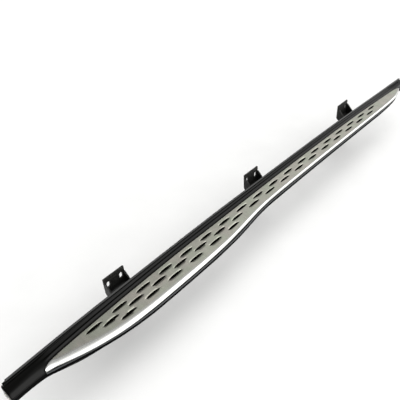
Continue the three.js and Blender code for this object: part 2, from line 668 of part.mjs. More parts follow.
// Upright slot with round ends, cut through the bracket's flange.
function flangeSlot(x) {
  const upper = BRACKET_SLOT_HEIGHT + BRACKET_SLOT_REACH;
  const lower = BRACKET_SLOT_HEIGHT - BRACKET_SLOT_REACH;
  const outline = new THREE.Shape();
  outline.absarc(x, upper, BRACKET_SLOT_RADIUS, 0, Math.PI, false);
  outline.absarc(x, lower, BRACKET_SLOT_RADIUS, Math.PI, 2 * Math.PI, false);
  const depth = 3 * BRACKET_THICKNESS;
  const geometry = new THREE.ExtrudeGeometry(outline, { depth, bevelEnabled: false, curveSegments: 5 });
  return geometry.rotateX(Math.PI / 2).translate(0, BRACKET_FACE + BRACKET_THICKNESS, 0);
}

// Side view in [y, z] swept across the bracket's width about x.
function acrossBracket(outline, x, width) {
  const options = { depth: width, bevelEnabled: false, curveSegments: 4 };
  const geometry = new THREE.ExtrudeGeometry(outline, options);
  return geometry.rotateX(Math.PI / 2).rotateZ(Math.PI / 2).translate(x - width / 2, 0, 0);
}

function addBracket(name, x) {
  const innerFace = BRACKET_FACE - BRACKET_THICKNESS;
  const bendCentre = [innerFace - BRACKET_BEND, ARM_TOP + BRACKET_BEND];
  const angle = new THREE.Shape();
  angle.moveTo(BRACKET_ARM_TIP, ARM_BOTTOM);
  angle.absarc(...bendCentre, BRACKET_BEND + BRACKET_THICKNESS, -Math.PI / 2, 0, false);
  angle.lineTo(BRACKET_FACE, BRACKET_FLANGE_TOP);
  angle.lineTo(innerFace, BRACKET_FLANGE_TOP);
  angle.absarc(...bendCentre, BRACKET_BEND, 0, -Math.PI / 2, true);
  angle.lineTo(BRACKET_ARM_TIP, ARM_TOP);
  const gusset = new THREE.Shape();
  gusset.moveTo(GUSSET_FOOT, ARM_TOP - 1);
  gusset.lineTo(innerFace + 1, ARM_TOP - 1);
  gusset.lineTo(innerFace + 1, GUSSET_TOP);
  gusset.lineTo(innerFace - 4, GUSSET_TOP);
  const gussetOffset = (BRACKET_WIDTH - GUSSET_THICKNESS) / 2;
  const joined = [-1, 1].map((side) => (
    acrossBracket(gusset, x + side * gussetOffset, GUSSET_THICKNESS)
  ));
  const slots = [-1, 1].map((side) => flangeSlot(x + (side * BRACKET_SLOT_SPACING) / 2));
  const cut = [...slots, ...boltHoles(x, ARM_BOTTOM, ARM_TOP)];
  addPiece(name, shaped(acrossBracket(angle, x, BRACKET_WIDTH), { joined, cut }), coatedSteel);
}

// ---------------------------------------------------------------- fasteners

function addTBolt(name, x) {
  const headBottom = RAIL_BOTTOM + RAIL_WALL + GAP;
  const head = box(
    [x - T_HEAD.length / 2, RAIL_CENTRE - T_HEAD.width / 2, headBottom],
    [x + T_HEAD.length / 2, RAIL_CENTRE + T_HEAD.width / 2, headBottom + T_HEAD.height],
  );
  const shank = post(x, RAIL_CENTRE, ARM_BOTTOM - BOLT_PROTRUSION, headBottom + 1, BOLT_RADIUS);
  addPiece(name, shaped(head, { joined: [shank] }), zincSteel);
}

function addFlangeNut(name, x) {
  const top = ARM_BOTTOM - GAP;
  const bottom = top - NUT_HEIGHT;
  const flange = post(x, RAIL_CENTRE, top - NUT_FLANGE_HEIGHT, top, NUT_FLANGE_RADIUS, 12);
  const hexagon = post(x, RAIL_CENTRE, bottom, top - 1, NUT_RADIUS, 6);
  const bore = post(x, RAIL_CENTRE, bottom - 1, top + 1, BOLT_RADIUS + HOLE_MARGIN);
  addPiece(name, shaped(flange, { joined: [hexagon], cut: [bore] }), zincSteel);
}

function addUprightScrew(name, x, y, headTop, tip) {
  const head = post(x, y, headTop - SCREW_HEAD_HEIGHT, headTop, SCREW_HEAD_RADIUS);
  const shank = post(x, y, headTop - 1, tip, SCREW_RADIUS, SMALL_SIDES);
  addPiece(name, shaped(head, { joined: [shank] }), zincSteel);
}

function addCapScrew(name, side, y) {
  const seat = side * (BODY_END + CAP_THICKNESS + GAP);
  const [headFrom, headTo] = ordered(seat, seat + side * SCREW_HEAD_HEIGHT);
  const [shankFrom, shankTo] = ordered(seat + side, seat - side * CAP_SCREW_LENGTH);
  const head = lengthwiseBar(headFrom, headTo, y, CAP_SCREW_HEIGHT, SCREW_HEAD_RADIUS, ROUND_SIDES);
  const shank = lengthwiseBar(shankFrom, shankTo, y, CAP_SCREW_HEIGHT, SCREW_RADIUS);
  addPiece(name, shaped(head, { joined: [shank] }), zincSteel);
}

// ---------------------------------------------------------------- assembly

addTreadPlate();
addRubberMat();
addPushNuts();
addUpperShell();
addTrimStrip();
addLipSeal();
addLowerCover();
addEndCap("rear_end_cap", -1);
addEndCap("front_end_cap", 1);
addCarrierRail();

for (const [place, x] of Object.entries(BRACKET_PLACES)) {
  addBracket(`${place}_bracket`, x);
  addPadBlock(`${place}_bracket_pad`, x);
  boltPlaces(x).forEach((boltX, i) => {
    addTBolt(`${place}_t_bolt_${i + 1}`, boltX);
    addFlangeNut(`${place}_flange_nut_${i + 1}`, boltX);
  });
}

RAIL_SCREW_PLACES.forEach((x, i) => {
  addUprightScrew(`rail_screw_${i + 1}`, x, RAIL_CENTRE, RAIL_TOP - RAIL_WALL - GAP, RAIL_SCREW_TIP);
});
COVER_SCREW_PLACES.forEach((x, i) => {
  addUprightScrew(`cover_screw_${i + 1}`, x, COVER_SCREW_LINE, COVER_BOTTOM - GAP, RAIL_BOTTOM + 8);
});
CAP_SCREW_LINES.forEach((y, i) => {
  addCapScrew(`rear_cap_screw_${i + 1}`, -1, y);
  addCapScrew(`front_cap_screw_${i + 1}`, 1, y);
});

board.position.set(-BRACKET_PLACES.middle, -BRACKET_FACE, -BRACKET_SLOT_HEIGHT);

export default board;
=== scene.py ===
"""Looks of a fixed running board: tread plate, rubber mat, plastic body, rail and brackets.

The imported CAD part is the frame. Visible skins are rebuilt here with round edges and fine detail,
in the CAD's board coordinates (millimetres, z = 0 on top of the plate), and turned into metres.
"""
import json
import math

import bmesh
import bpy
from mathutils import Matrix, Vector
from mathutils.geometry import tessellate_polygon


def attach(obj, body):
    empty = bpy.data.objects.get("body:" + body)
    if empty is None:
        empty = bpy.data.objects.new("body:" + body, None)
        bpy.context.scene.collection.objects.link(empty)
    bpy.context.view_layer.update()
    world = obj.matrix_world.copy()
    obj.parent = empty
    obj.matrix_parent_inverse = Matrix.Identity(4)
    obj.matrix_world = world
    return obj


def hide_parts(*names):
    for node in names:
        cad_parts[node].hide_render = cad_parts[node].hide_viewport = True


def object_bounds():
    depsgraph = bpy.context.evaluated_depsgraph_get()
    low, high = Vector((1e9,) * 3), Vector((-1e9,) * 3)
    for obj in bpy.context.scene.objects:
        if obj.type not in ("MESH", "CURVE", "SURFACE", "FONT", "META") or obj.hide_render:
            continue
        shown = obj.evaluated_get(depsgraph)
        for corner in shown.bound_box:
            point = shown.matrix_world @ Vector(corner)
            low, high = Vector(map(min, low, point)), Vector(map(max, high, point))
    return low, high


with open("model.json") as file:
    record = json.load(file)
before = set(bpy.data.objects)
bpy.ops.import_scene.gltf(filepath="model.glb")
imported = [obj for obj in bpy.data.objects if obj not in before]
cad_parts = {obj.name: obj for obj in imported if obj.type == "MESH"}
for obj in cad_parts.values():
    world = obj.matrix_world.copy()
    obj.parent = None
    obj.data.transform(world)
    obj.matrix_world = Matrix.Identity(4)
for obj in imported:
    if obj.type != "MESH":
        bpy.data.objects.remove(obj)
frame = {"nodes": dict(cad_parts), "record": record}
cad_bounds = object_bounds()

# ---------------------------------------------------------------- driving dimensions (as in the CAD)

MM = 0.001
GAP = 0.3
BRACKET_FACE = 95
BRACKET_SLOT_HEIGHT = -20
BRACKET_PLACES = (-600, 0, 600)
RAIL_CENTRE = -2

# Crown: the top of the board drops away from its highest point as a shallow parabola.
CROWN_PEAK = -43
CROWN_RATE = 1.795e-5

BODY_END = 970
CAP_THICKNESS = 5

PLATE_REAR_TIP = -886
PLATE_FRONT_TIP = 890
PLATE_THICKNESS = 1.5
BEVEL_DROP = 6
RECESS_MARGIN = 1.6  # how far the sunk deck runs on past the plate's tips

MAT_THICKNESS = 1.5
MAT_ENDS = (-800, 720)
MAT_MARGIN = 1
PAD_RISE = 0.3
PAD_CLEARANCE = 0.5
OPENING_LENGTH = 48.5
OPENING_WIDTH = 8.8
OPENING_PITCH = 82
# Each row: place of the first opening, number of openings, line that they follow.
OPENING_ROWS = [
    (-741.5, 18, [(-743, -2.2), (-400, -0.8), (0, -1.7), (651, -4.5)]),
    (-700, 17, [(-702, -18.4), (-400, -17.2), (0, -17.7), (610, -20.4)]),
    (-657.5, 6, [(-661, -36.4), (-450, -37), (-251, -35.3)]),
]

DECK_TOP = -3.6
SHELL_THICKNESS = 2.6
SHELL_BOTTOM = -20.5
SHELL_UNDERSIDE = -4.5
TAIL_EXTRA_DEPTH = 2.5
SHOULDER = -9
TAIL_SHOULDER_DROP = 11
RIB_GAP = 2.2
TAIL_RIB_GAP = 0.6
RIB_FOOT = -1.8
RIB_TOP = 0.6
RIB_CREST_OFFSET = 3
RIB_RAMP = (0.38, 1)  # share of the rib's width over which it rises from its level foot
GROOVE_DEPTH = 0.8
GROOVE_OFFSET = 2.2
RELIEF_FADE_IN = (-889, -845)
RELIEF_FADE_OUT = (845, 893)
STRIP_RISE = 1.3
LIP_TOP = 8
LIP_THICKNESS = 2

TRIM_THICKNESS = 3
TRIM_TOP = -7.4
BEAD_TOP = -11
BEAD_BOTTOM = -15

SEAL_END = 962
SEAL_FOOT = 5.6
SEAL_BACK_FOOT = 2

COVER_THICKNESS = 2.5
COVER_BOTTOM = -50.8
COVER_TOP = SHELL_BOTTOM - 0.4
WINDOW_LENGTH = 78
WINDOW_WIDTH = 36
WINDOW_HEIGHTS = (-54, -47)

# Plan curves, as (x, y) stations. Negative y is the outboard side.
PLATE_OUTER_EDGE = [
    (-886, -9.6), (-867, -13.6), (-846, -21.4), (-797, -38.8), (-747, -52.2), (-697, -61.8),
    (-647, -67), (-560, -70.2), (-440, -70.4), (-340, -67.8), (-250, -60.7), (-190, -53.6),
    (-130, -46.8), (-60, -43.1), (40, -42.6), (300, -42.8), (600, -42.4), (700, -41.4),
    (800, -37), (850, -27), (875, -18.4), (890, -12),
]
PLATE_BEVEL_START = [
    (-886, -7), (-880, -2.4), (-866, 2.6), (-858, 1), (-850, -3.6), (-800, -19.2), (-750, -35),
    (-700, -46), (-650, -53), (-600, -57), (-500, -60), (-400, -61), (-300, -58.8),
    (-200, -48.8), (-150, -43.4), (-100, -40.2), (0, -38.8), (600, -38), (700, -36.4), (800, -31),
    (850, -21), (875, -14), (890, -10),
]
PLATE_INNER_EDGE = [
    (-886, -6.2), (-880, -1.4), (-866, 4.2), (-850, 6.6), (-830, 7.8), (-800, 8.9), (-700, 11.6),
    (-600, 13.6), (-400, 15.2), (-300, 14), (0, 12.8), (250, 11.5), (450, 10), (550, 9),
    (650, 6.2), (750, 3.4), (850, -0.6), (878, -3.6), (890, -8.2),
]
# In the tails beyond the plate the shoulder is one large round up to the first line. The second
# line splits it where the plate's recess begins.
TAIL_SHOULDER = [(-970, 8), (-940, 11), (-889, 15), (893, 6), (970, 7)]
SHOULDER_SPLIT = [(-970, -1), (-889, -6), (893, -8), (921, -4.5), (970, -1)]
BODY_SIDE = [
    (-970, -6.5), (-921, -5.8), (-896, -7), (-868, -14.5), (-819, -30), (-743, -51), (-692, -61),
    (-641, -67.5), (-590, -70.8), (-488, -71.8), (-385, -71.2), (-283, -66.6), (-232, -61.8),
    (-181, -54.8), (-130, -48.6), (-79, -45.2), (23, -44.2), (637, -42.8), (720, -40.2), (800, -33.5),
    (850, -23), (897, -9), (921, -5.8), (970, -6.5),
]
INNER_LIP = [
    (-970, 34.2), (-750, 37), (-300, 36.6), (0, 33.5), (400, 30.8), (777, 25), (970, 24),
]
INNER_GROOVE = [
    (-970, 17), (-850, 21.2), (-800, 23.7), (-700, 27.2), (-400, 30.4), (0, 28.2), (400, 25),
    (698, 19.2), (850, 14), (970, 14),
]
COVER_BOTTOM_OUTER = [
    (-970, 6), (-890, 2), (-850, -10), (-800, -26), (-740, -36), (-660, -45), (-560, -50), (-440, -50),
    (-340, -47), (-250, -40), (-180, -31), (-110, -26), (-40, -24.5), (660, -24.5), (720, -21.5),
    (800, -16), (880, -5), (970, 6),
]

# ---------------------------------------------------------------- detail that only the looks need

STATION_PITCH = 9
FINE_PITCH = 1.5
TIP_STRETCHES = ((PLATE_REAR_TIP, -840), (850, PLATE_FRONT_TIP))
BODY_STRETCHES = ((-912, -845), (845, 912))

FLATTEST_TURN = 1e-6  # keeps the radius of a corner without a turn finite
ROUND_SHARE = 0.45  # most of a straight stretch that the round at one of its ends may take

# Inner edge of the plate, up from the underside and over a small round, as offsets from the edge's top.
PLATE_CORNER_SIDE = [(0, -PLATE_THICKNESS), (0, -0.4), (-0.1, -0.12)]
PLATE_CORNER_TOP = [(-0.35, 0), (-1, 0)]
FLAT_STEPS = 8
BEVEL_STEPS = 12
OVAL_POINTS = 40
CUTTER_REACH = 5
OPENING_ROUND = 0.18
POLISH_FADE = 5  # the plate's bright band begins to fade in this far before the rolled edge
POLISH_FULL = 0.3  # and it is full this far past the start of the rolled edge
TIP_BAND_SHARE = 0.4  # at the tips the band's fade takes at most this share of the flat

# Profile of a pad, as (inset from its side, depth below its top).
PAD_PROFILE = [(0, 2.5), (0, 0.7), (0.12, 0.35), (0.4, 0.12), (0.9, 0.02), (1.8, 0)]
PAD_END_TAPER = 1.3  # inset at a pad's ends, as a multiple of the inset at its sides

SHOULDER_STEPS = [i / 12 for i in range(13)]
SIDE_FACES = 6  # faces per station that make up the shell's outboard side below the shoulder
SHELL_ARC_STEPS = 4
FOOT_EDGE = 0.2  # the deck ends this far short of the rib's foot
DECK_INSET = 0.5  # the deck begins this far inboard of the bevel's start or of the shell's side
RIB_CLEARANCE = 0.4  # least height of the rib's slope above the deck
UNDERSIDE_STEP = 0.2  # least depth of the deck's underside below the rib's
CAP_PROFILE = [(GAP, 0), (2.2, 0), (3.6, 0.5), (4.5, 1.4), (CAP_THICKNESS, 2.8)]  # (reach, inset)

# Rounds on the edges of the CAD's own metal and rubber pieces.
FASTENER_ROUND = 0.35
BRACKET_ROUND = 0.6
ROUNDED_SLOTS = ("coated_steel", "zinc_steel", "mill_aluminium", "seal_rubber")

# ---------------------------------------------------------------- colours and light

SATIN = (0.63, 0.635, 0.555)
SATIN_GREENISH = (0.60, 0.635, 0.525)
SATIN_WARM = (0.68, 0.63, 0.575)
SATIN_DARK = (0.44, 0.445, 0.39)
SATIN_ROUGHNESS = 0.3
ROUGHNESS_DIP = 0.04  # how far the roughness falls below its value in places
ROUGHNESS_RISE = 0.06  # and rises above it
POLISHED = (0.66, 0.66, 0.64)
POLISHED_ROUGHNESS = 0.2

# Brushed metals: light and dark tone, roughness.
BRUSHED_METALS = {
    "mill_aluminium": ((0.46, 0.47, 0.48), (0.33, 0.34, 0.35), 0.42),
    "zinc_steel": ((0.52, 0.52, 0.49), (0.36, 0.35, 0.31), 0.34),
}
# Moulded and coated surfaces: colour, worn colour, roughness, height of the grain in metres,
# its scale, and how strongly the surface mirrors.
MOULDED_SURFACES = {
    "mat_rubber": ((0.001, 0.001, 0.0006), (0.0025, 0.0025, 0.0016), 0.8, 0.00008, 900, 0.02),
    "seal_rubber": ((0.0015, 0.0015, 0.0015), (0.006, 0.006, 0.006), 0.24, 0.00001, 1800, 0.4),
    "satin_plastic": ((0.0011, 0.0011, 0.0009), (0.003, 0.003, 0.0025), 0.2, 0.00001, 1400, 0.16),
    "rough_plastic": ((0.0014, 0.0014, 0.0013), (0.005, 0.005, 0.005), 0.6, 0.00008, 700, 0.02),
    # grey_trim: the bead's dark grey, lightened partly as painted sheen for the reflected pale line
    # along the trim.
    "grey_trim": ((0.045, 0.048, 0.05), (0.07, 0.073, 0.075), 0.35, 0.00001, 1400, 0.2),
    "coated_steel": ((0.006, 0.006, 0.006), (0.03, 0.029, 0.027), 0.45, 0.0001, 420, 0.2),
}

# The board hangs on its vehicle, so the floor lies well below it. Both lengths are in metres.
FLOOR_CLEARANCE = 0.12
FLOOR_SIZE = 400
FLOOR_PALE = (0.82, 0.82, 0.82)
FLOOR_SHADED = (0.79, 0.79, 0.79)

SKY_CENTRE = (0.4, -0.55, 0.73)
SKY_STRENGTH = 2.7
SKY_BLUE_SHARE = 0.99
# Brightness against the cosine of the angle to the sky's centre, as a share of the peak.
SKY_STEPS = [
    (-0.2, 0.004), (0.1, 0.01), (0.26, 0.03), (0.33, 0.19),
    (0.39, 0.27), (0.46, 0.17), (0.62, 0.45), (0.76, 1.0),
]

# Camera: place in board millimetres, angles in degrees, lens and sensor in millimetres.
CAMERA_PLACE = (-1095.7, -750.5, 964.9)
CAMERA_HEADING = 45.083
CAMERA_PITCH = 37.888
CAMERA_ROLL = -4.302
CAMERA_LENS = 45
CAMERA_SENSOR = 36

# ---------------------------------------------------------------- curves of the board


def crown(x):
    """Height of the board's top along its length."""
    return -CROWN_RATE * (x - CROWN_PEAK) ** 2


def level(_):
    """Lift of a piece that doesn't follow the crown."""
    return 0


def to_row(x, y, z):
    """Board millimetres to the row frame's metres."""
    return Vector((x, y - BRACKET_FACE, z - BRACKET_SLOT_HEIGHT)) * MM


def mix(first, second, t):
    return first + (second - first) * t


def smooth_step(x, low, high):
    t = min(1, max(0, (x - low) / (high - low)))
    return t * t * (3 - 2 * t)


def curve_through(points):
    """Smooth curve without overshoot through given stations (monotone cubic Hermite)."""
    slopes = [(b[1] - a[1]) / (b[0] - a[0]) for a, b in zip(points, points[1:])]
    inner = [0 if a * b <= 0 else 2 * a * b / (a + b) for a, b in zip(slopes, slopes[1:])]
    tangents = [slopes[0], *inner, slopes[-1]]

    def value(x):
        i = 0
        while i < len(slopes) - 1 and x > points[i + 1][0]:
            i += 1
        (x0, y0), (x1, y1) = points[i], points[i + 1]
        span = x1 - x0
        t = min(1, max(0, (x - x0) / span))
        start_weight = (1 + 2 * t) * (1 - t) ** 2
        bend = t * (1 - t) * span * (tangents[i] * (1 - t) - tangents[i + 1] * t)
        return y0 * start_weight + y1 * (1 - start_weight) + bend

    return value


plate_outer_edge = curve_through(PLATE_OUTER_EDGE)
bevel_start = curve_through(PLATE_BEVEL_START)
plate_inner_edge = curve_through(PLATE_INNER_EDGE)
body_side = curve_through(BODY_SIDE)
inner_lip = curve_through(INNER_LIP)
inner_groove = curve_through(INNER_GROOVE)
cover_bottom_outer = curve_through(COVER_BOTTOM_OUTER)
tail_shoulder = curve_through(TAIL_SHOULDER)
shoulder_split = curve_through(SHOULDER_SPLIT)


def is_recessed(x):
    """The deck is sunk below the plate only along the plate's own length."""
    return PLATE_REAR_TIP - RECESS_MARGIN < x < PLATE_FRONT_TIP + RECESS_MARGIN


def relief_at(x):
    """1 along the plate, fading to 0 in the tails."""
    return smooth_step(x, *RELIEF_FADE_IN) * (1 - smooth_step(x, *RELIEF_FADE_OUT))


def opening_places():
    """Centre (x, y) of every opening, row by row."""
    places = []
    for first, count, line in OPENING_ROWS:
        row_line = curve_through(line)
        for i in range(count):
            x = first + i * OPENING_PITCH
            places.append((x, row_line(x)))
    return places


# ---------------------------------------------------------------- material helpers


def new_material(name, colour, roughness, metallic=0.0, **sockets):
    """A material with a Principled shader whose constant sockets are set directly."""
    material = bpy.data.materials.new(name)
    material.use_nodes = True
    shader = material.node_tree.nodes["Principled BSDF"]
    shader.inputs["Base Color"].default_value = (*colour, 1)
    shader.inputs["Roughness"].default_value = roughness
    shader.inputs["Metallic"].default_value = metallic
    for socket, value in sockets.items():
        shader.inputs[socket.replace("_", " ")].default_value = value
    return material, shader


def noise(material, scale, detail, stretch=(1, 1, 1)):
    """Noise in the object's own metres; stretch below 1 draws it out along that axis."""
    nodes, links = material.node_tree.nodes, material.node_tree.links
    place = nodes.new("ShaderNodeTexCoord")
    mapping = nodes.new("ShaderNodeMapping")
    mapping.inputs["Scale"].default_value = stretch
    texture = nodes.new("ShaderNodeTexNoise")
    texture.inputs["Scale"].default_value = scale
    texture.inputs["Detail"].default_value = detail
    links.new(place.outputs["Object"], mapping.inputs["Vector"])
    links.new(mapping.outputs["Vector"], texture.inputs["Vector"])
    return texture.outputs["Fac"]


def spread(material, value, low, high, from_low=0.3, from_high=0.7):
    """Stretches a 0 to 1 pattern onto low..high."""
    remap = material.node_tree.nodes.new("ShaderNodeMapRange")
    remap.inputs["From Min"].default_value = from_low
    remap.inputs["From Max"].default_value = from_high
    remap.inputs["To Min"].default_value = low
    remap.inputs["To Max"].default_value = high
    material.node_tree.links.new(value, remap.inputs["Value"])
    return remap.outputs["Result"]


def blend_colours(material, factor, first, second):
    """Mixes two colours (tuples or sockets) by a pattern."""
    blend = material.node_tree.nodes.new("ShaderNodeMix")
    blend.data_type = "RGBA"
    material.node_tree.links.new(factor, blend.inputs["Factor"])
    for socket, colour in ((blend.inputs["A"], first), (blend.inputs["B"], second)):
        if isinstance(colour, tuple):
            socket.default_value = (*colour, 1)
        else:
            material.node_tree.links.new(colour, socket)
    return blend.outputs["Result"]


def blend_values(material, factor, first, second):
    """Mixes two numbers (constants or sockets) by a pattern."""
    blend = material.node_tree.nodes.new("ShaderNodeMix")
    blend.data_type = "FLOAT"
    material.node_tree.links.new(factor, blend.inputs["Factor"])
    for socket, value in ((blend.inputs["A"], first), (blend.inputs["B"], second)):
        if isinstance(value, (int, float)):
            socket.default_value = value
        else:
            material.node_tree.links.new(value, socket)
    return blend.outputs["Result"]


def add_bump(material, shader, layers):
    """Chains bump layers of (pattern, strength, height in metres) into the shader's normal."""
    nodes, links = material.node_tree.nodes, material.node_tree.links
    normal = None
    for height, strength, distance in layers:
        bump = nodes.new("ShaderNodeBump")
        bump.inputs["Strength"].default_value = strength
        bump.inputs["Distance"].default_value = distance
        links.new(height, bump.inputs["Height"])
        if normal is not None:
            links.new(normal, bump.inputs["Normal"])
        normal = bump.outputs["Normal"]
    links.new(normal, shader.inputs["Normal"])


def edge_wear(material):
    """Pattern that is 1 on sharp convex edges, broken up by noise."""
    nodes, links = material.node_tree.nodes, material.node_tree.links
    geometry = nodes.new("ShaderNodeNewGeometry")
    edges = spread(material, geometry.outputs["Pointiness"], 0, 1, from_low=0.52, from_high=0.58)
    speckle = spread(material, noise(material, scale=180, detail=4), 0, 1, from_low=0.45, from_high=0.6)
    product = nodes.new("ShaderNodeMath")
    product.operation = "MULTIPLY"
    links.new(edges, product.inputs[0])
    links.new(speckle, product.inputs[1])
    return product.outputs["Value"]


# ---------------------------------------------------------------- materials


def plate_metal(name):
    """Warm satin plate with fine marks across it; the "polish" attribute turns it bright and smooth."""
    material, shader = new_material(name, SATIN, SATIN_ROUGHNESS, 1.0)
    nodes, links = material.node_tree.nodes, material.node_tree.links
    polish = nodes.new("ShaderNodeAttribute")
    polish.attribute_name = "polish"
    polished = polish.outputs["Fac"]
    warmth = spread(material, noise(material, scale=22, detail=3), 0, 1, from_low=0.38, from_high=0.62)
    clouds = spread(material, noise(material, scale=60, detail=4, stretch=(1, 0.45, 1)), 0, 0.6)
    marks = spread(material, noise(material, scale=420, detail=3, stretch=(1, 0.12, 1)), 0, 0.6)
    tone = blend_colours(material, warmth, SATIN_GREENISH, SATIN_WARM)
    tone = blend_colours(material, clouds, tone, SATIN_DARK)
    tone = blend_colours(material, marks, tone, SATIN_DARK)
    links.new(blend_colours(material, polished, tone, POLISHED), shader.inputs["Base Color"])
    satin = spread(
        material, marks, SATIN_ROUGHNESS - ROUGHNESS_DIP, SATIN_ROUGHNESS + ROUGHNESS_RISE,
        from_low=0, from_high=0.6,
    )
    links.new(blend_values(material, polished, satin, POLISHED_ROUGHNESS), shader.inputs["Roughness"])
    marks_height = blend_values(material, polished, marks, 0)
    dents = blend_values(material, polished, noise(material, scale=110, detail=2), 0.5)
    add_bump(material, shader, [(marks_height, 0.16, 0.00003), (dents, 0.1, 0.00012)])
    return material


def brushed_metal(name, light, dark, roughness):
    """Metal with fine brush lines along X, soft blotches and a varying roughness."""
    material, shader = new_material(name, light, roughness, 1.0, Anisotropic=0.35)
    links = material.node_tree.links
    lines = noise(material, scale=900, detail=3, stretch=(0.02, 1, 1))
    blotches = noise(material, scale=9, detail=4, stretch=(0.6, 1, 1))
    tone = blend_colours(material, spread(material, blotches, 0, 0.55), light, dark)
    streaked = blend_colours(material, spread(material, lines, 0, 0.3), tone, dark)
    links.new(streaked, shader.inputs["Base Color"])
    links.new(spread(material, lines, roughness * 0.85, roughness * 1.2), shader.inputs["Roughness"])
    fine = noise(material, scale=2600, detail=2, stretch=(0.03, 1, 1))
    add_bump(material, shader, [(lines, 0.18, 0.00004), (fine, 0.15, 0.00002)])
    return material


def moulded_surface(name, colour, worn, roughness, grain_height, grain_scale, mirroring):
    """Dark plastic, rubber or coating with a grain, faint dusty patches and paler scuffed edges."""
    material, shader = new_material(name, colour, roughness, Specular_IOR_Level=mirroring)
    links = material.node_tree.links
    patches = spread(material, noise(material, scale=14, detail=5), 0, 0.35)
    dusty = blend_colours(material, patches, colour, worn)
    edged = blend_colours(material, edge_wear(material), dusty, worn)
    links.new(edged, shader.inputs["Base Color"])
    haze = noise(material, scale=22, detail=4)
    haze = spread(material, haze, roughness - ROUGHNESS_DIP, roughness + ROUGHNESS_RISE)
    links.new(haze, shader.inputs["Roughness"])
    grain = noise(material, grain_scale, detail=2)
    add_bump(material, shader, [(grain, 0.3, grain_height)])
    return material


def make_materials():
    """One material for each of the record's material slots."""
    made = {"satin_aluminium": plate_metal("satin_aluminium")}
    for name, finish in BRUSHED_METALS.items():
        made[name] = brushed_metal(name, *finish)
    for name, finish in MOULDED_SURFACES.items():
        made[name] = moulded_surface(name, *finish)
    return made


MATERIALS = make_materials()

# ---------------------------------------------------------------- mesh helpers


def even_places(first, last, pitch):
    """Evenly spaced places from first to last, about a pitch apart."""
    count = max(1, round((last - first) / pitch))
    return [first + (last - first) * i / count for i in range(count + 1)]


def stations(first, last, fine_stretches=()):
    """Evenly spaced stations, closer together inside the given stretches."""
    places = set(even_places(first, last, STATION_PITCH))
    for low, high in fine_stretches:
        places.update(even_places(low, high, FINE_PITCH))
    return sorted(x for x in places if first <= x <= last)


def rounded(corners, steps):
    """Closed outline of (y, z, radius) corners with every rounded corner turned into an arc."""
    outline = []
    count = len(corners)
    for i, (y, z, radius) in enumerate(corners):
        here = Vector((y, z))
        before = Vector(corners[i - 1][:2]) - here
        after = Vector(corners[(i + 1) % count][:2]) - here
        if radius == 0:
            outline.append(here)
            continue
        half_angle = before.angle(after) / 2 if before.length and after.length else math.pi / 2
        reach = radius / max(math.tan(half_angle), FLATTEST_TURN)
        reach = min(reach, ROUND_SHARE * before.length, ROUND_SHARE * after.length)
        start = here + before.normalized() * reach
        end = here + after.normalized() * reach
        for k in range(steps + 1):
            t = k / steps
            outline.append(start * (1 - t) ** 2 + here * 2 * t * (1 - t) + end * t**2)
    return outline


def oval_outline(x, y, length, width):
    """Points of an ellipse around (x, y), as seen from above."""
    angles = [2 * math.pi * i / OVAL_POINTS for i in range(OVAL_POINTS)]
    return [(x + length / 2 * math.cos(a), y + width / 2 * math.sin(a)) for a in angles]


def walls_between(base, count, rings):
    """Four-sided faces between rings of count vertices each, which start at vertex number base."""
    faces = []
    for k in range(rings - 1):
        for j in range(count):
            a = base + k * count + j
            b = base + k * count + (j + 1) % count
            faces.append((a, b, b + count, a + count))
    return faces


def shade_smooth(piece, angle):
    """Smooth shading that keeps edges sharper than the angle."""
    mesh = piece.data
    mesh.polygons.foreach_set("use_smooth", [True] * len(mesh.polygons))
    mesh.set_sharp_from_angle(angle=math.radians(angle))


def add_object(name, verts, faces, material, smooth_angle=40, weighted=True):
    """New object with outward faces; weighted normals keep its large faces looking flat."""
    mesh = bpy.data.meshes.new(name)
    mesh.from_pydata(verts, [], faces)
    mesh.validate()
    solid = bmesh.new()
    solid.from_mesh(mesh)
    bmesh.ops.recalc_face_normals(solid, faces=solid.faces)
    solid.to_mesh(mesh)
    solid.free()
    mesh.materials.append(material)
    piece = bpy.data.objects.new(name, mesh)
    bpy.context.scene.collection.objects.link(piece)
    shade_smooth(piece, smooth_angle)
    if weighted:
        piece.modifiers.new("weighted", "WEIGHTED_NORMAL").keep_sharp = True
    return piece


def loft(name, places, ring_at, material, lift=crown, **looks):
    """Solid through one outline per station; ring_at(x) gives (y, z) points in millimetres."""
    rings = [[to_row(x, p[0], p[1] + lift(x)) for p in ring_at(x)] for x in places]
    count = len(rings[0])
    verts = [v for ring in rings for v in ring]
    faces = walls_between(0, count, len(rings))
    last = (len(rings) - 1) * count
    for ring, offset in ((rings[0], 0), (rings[-1], last)):
        faces.extend(tuple(offset + i for i in triangle) for triangle in tessellate_polygon([ring]))
    return add_object(name, verts, faces, material, **looks)


def add_box(name, low, high, material):
    """Plain box in board millimetres, used to carve."""
    corners = [
        to_row(x, y, z) for x in (low[0], high[0]) for y in (low[1], high[1]) for z in (low[2], high[2])
    ]
    faces = [(0, 1, 3, 2), (4, 6, 7, 5), (0, 4, 5, 1), (2, 3, 7, 6), (0, 2, 6, 4), (1, 5, 7, 3)]
    return add_object(name, corners, faces, material)


def apply_modifiers(piece):
    """Turns the piece's modifiers into mesh."""
    graph = bpy.context.evaluated_depsgraph_get()
    mesh = bpy.data.meshes.new_from_object(piece.evaluated_get(graph))
    piece.modifiers.clear()
    piece.data = mesh


def carve(piece, cutter):
    """Cuts another object out of the piece, and removes that object."""
    boolean = piece.modifiers.new("carve", "BOOLEAN")
    boolean.operation = "DIFFERENCE"
    boolean.solver = "EXACT"
    boolean.object = cutter
    apply_modifiers(piece)
    bpy.data.objects.remove(cutter, do_unlink=True)


